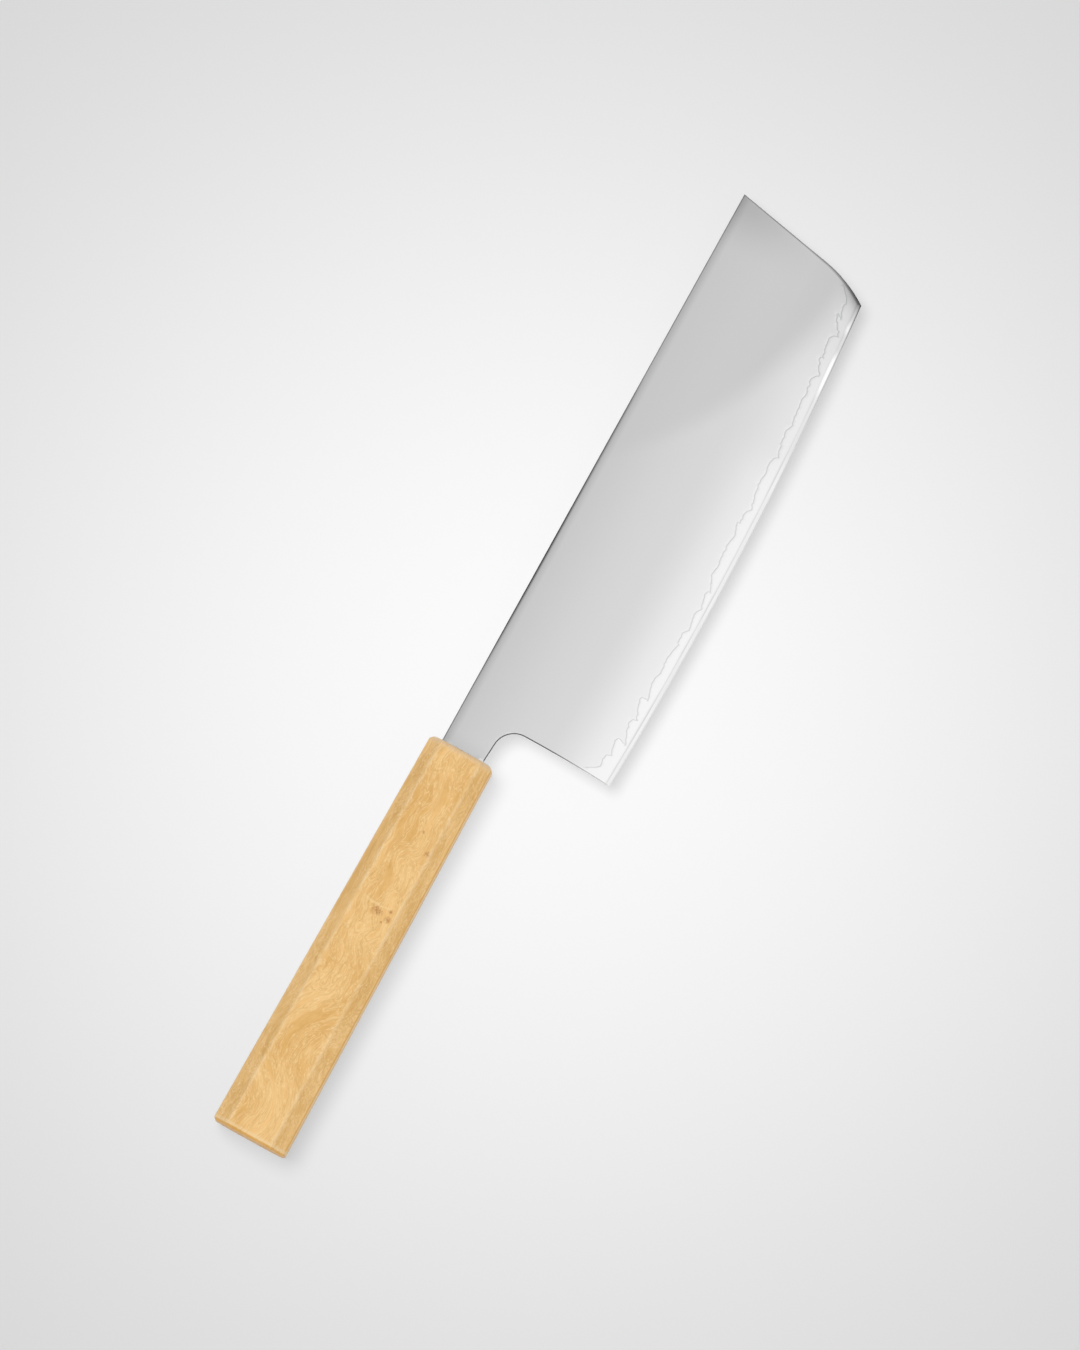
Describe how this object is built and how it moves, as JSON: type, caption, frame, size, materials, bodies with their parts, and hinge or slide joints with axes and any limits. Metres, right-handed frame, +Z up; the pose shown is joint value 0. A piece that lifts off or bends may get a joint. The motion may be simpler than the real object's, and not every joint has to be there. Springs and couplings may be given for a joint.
{
  "type": "nakiri knife",
  "caption": "Tall, straight-edged vegetable knife with a laminated steel blade and a tapered octagonal wooden handle, for chopping on a board.",
  "frame": {"origin": "Under the middle of the knife as it lies on its left side: the middle of the bounding box in X and Y, at the height of the lowest edge of the handle's butt.", "axes": "+X along the handle's axis from the butt to the tip; +Y from the cutting edge to the spine; +Z up, out of the blade's right face."},
  "size_m": [0.31, 0.0548, 0.0202],
  "materials": {
    "core_steel": "ground and honed, bright",
    "cladding_steel": "fine satin polish",
    "handle_wood": "pale figured hardwood, sanded and oiled, satin",
    "dowel_wood": "plain straight-grained wood, unfinished",
    "epoxy": "cured clear amber adhesive",
    "seal": "cured brown sealer, wiped flush"
  },
  "bodies": {
    "root": {"core_steel": "core_steel", "cladding_right": "cladding_steel", "cladding_left": "cladding_steel", "handle_body": "handle_wood", "dowel_right": "dowel_wood", "dowel_left": "dowel_wood", "tang_epoxy": "epoxy", "mouth_seal": "seal"}
  },
  "joints": []
}
